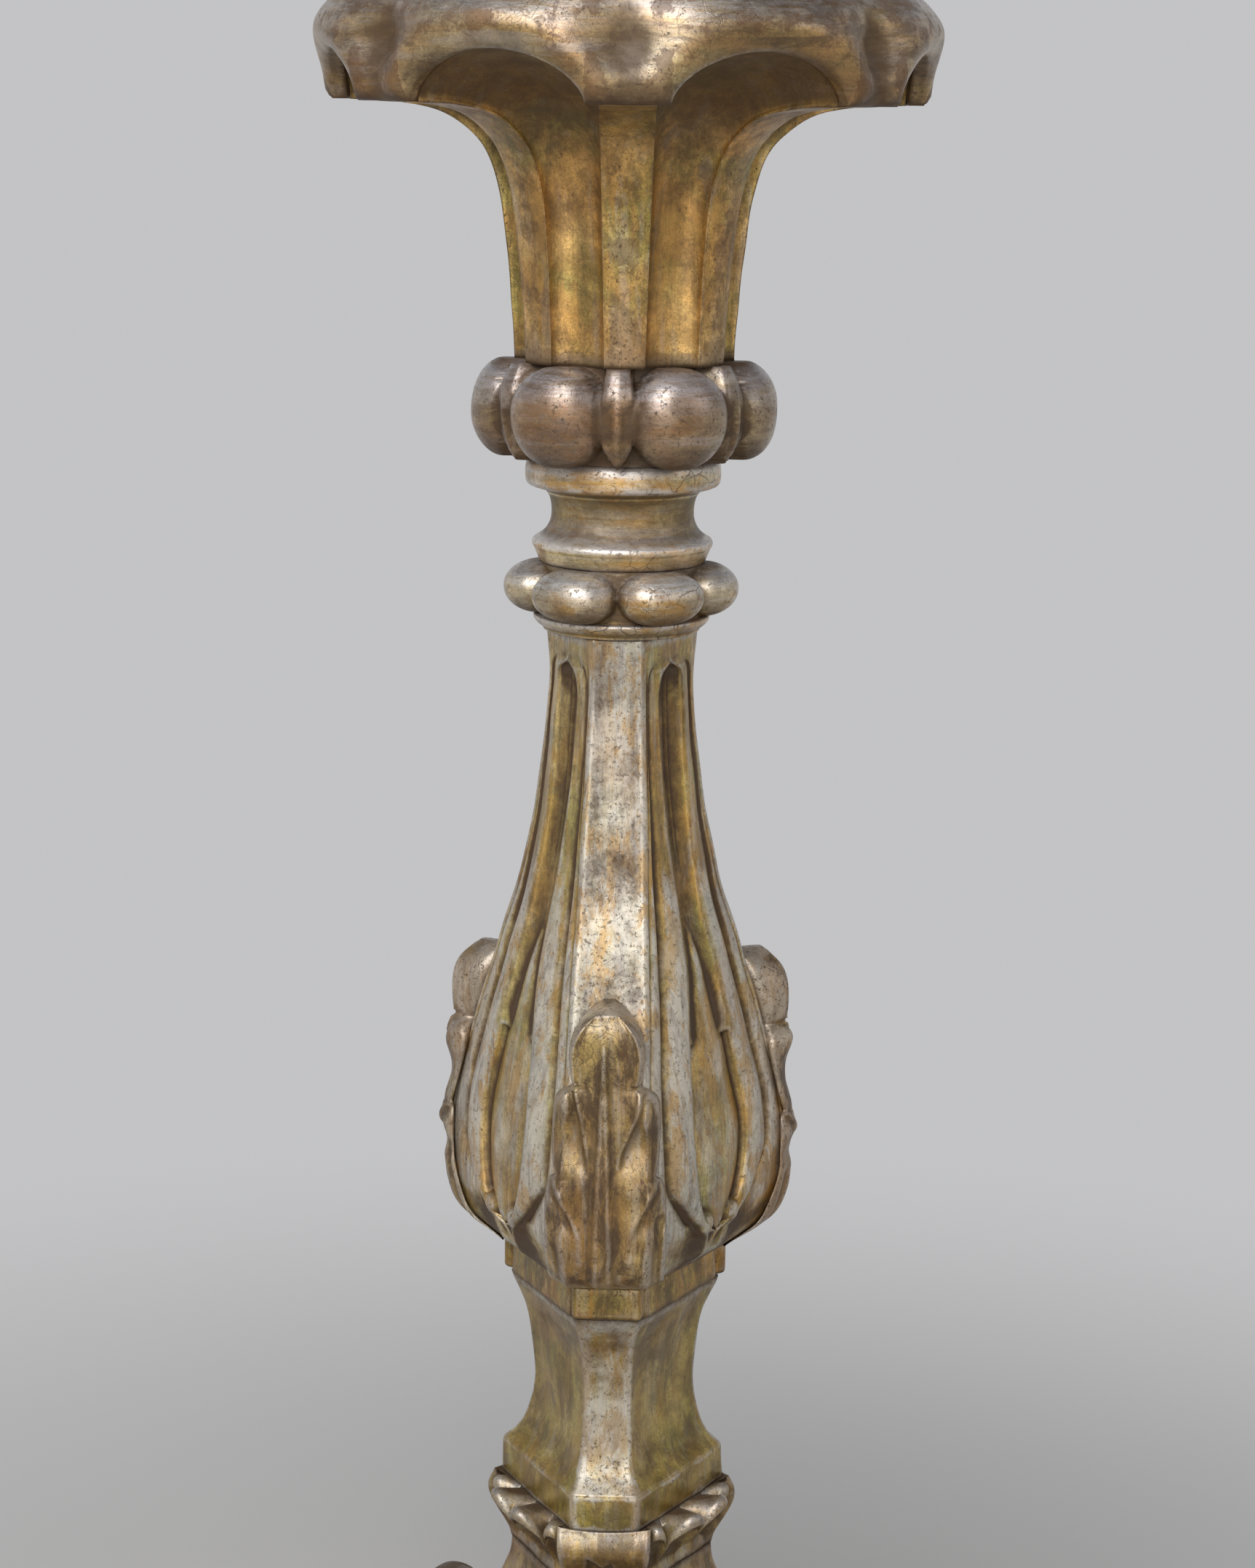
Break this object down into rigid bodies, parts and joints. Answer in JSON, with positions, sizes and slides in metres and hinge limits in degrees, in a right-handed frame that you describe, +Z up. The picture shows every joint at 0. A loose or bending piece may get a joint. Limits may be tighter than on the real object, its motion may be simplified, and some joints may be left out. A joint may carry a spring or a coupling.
{
  "type": "torchere candle stand",
  "caption": "Tall carved and gilded candle stand: wide scalloped pan with an iron pricket, fluted trumpet, beaded knops, leafy baluster and a three-sided scroll base.",
  "frame": {"origin": "on the stand's axis at floor level, under the three feet", "axes": "+Z up along the column, -Y towards the front leg and the front leaf, +X to the right seen from the front"},
  "size_m": [0.3378, 0.341, 1.2612],
  "materials": {
    "warm_gilding": "carved wood, water gilded over red bole, warm and worn",
    "pale_gilding": "carved wood, water gilded, pale and streaked",
    "brown_gilding": "carved wood, water gilded under brown patina",
    "olive_gilding": "carved wood, water gilded, dulled to olive",
    "bare_wood": "bare turned hardwood",
    "iron": "forged, dark",
    "tray": "thin sheet, tarnished",
    "steel": "old screws, dull"
  },
  "bodies": {
    "root": {"pricket": "iron", "wax_tray": "tray", "pan": "warm_gilding", "trumpet": "warm_gilding", "beaded_knop": "brown_gilding", "spool": "pale_gilding", "beaded_ring": "pale_gilding", "neck_ring": "pale_gilding", "baluster": "pale_gilding", "leaf_front": "brown_gilding", "leaf_right": "brown_gilding", "leaf_left": "brown_gilding", "key_ring": "pale_gilding", "waist": "olive_gilding", "scroll_crown": "olive_gilding", "base_core": "olive_gilding", "leg_front": "olive_gilding", "leg_right": "olive_gilding", "leg_left": "olive_gilding", "boss_right": "brown_gilding", "boss_back": "brown_gilding", "boss_left": "brown_gilding", "floor_board": "olive_gilding", "foot_front": "brown_gilding", "foot_right": "brown_gilding", "foot_left": "brown_gilding", "upper_spindle": "bare_wood", "middle_spindle": "bare_wood", "lower_spindle": "bare_wood", "leg_dowels": "bare_wood", "board_screws": "steel"}
  },
  "joints": []
}
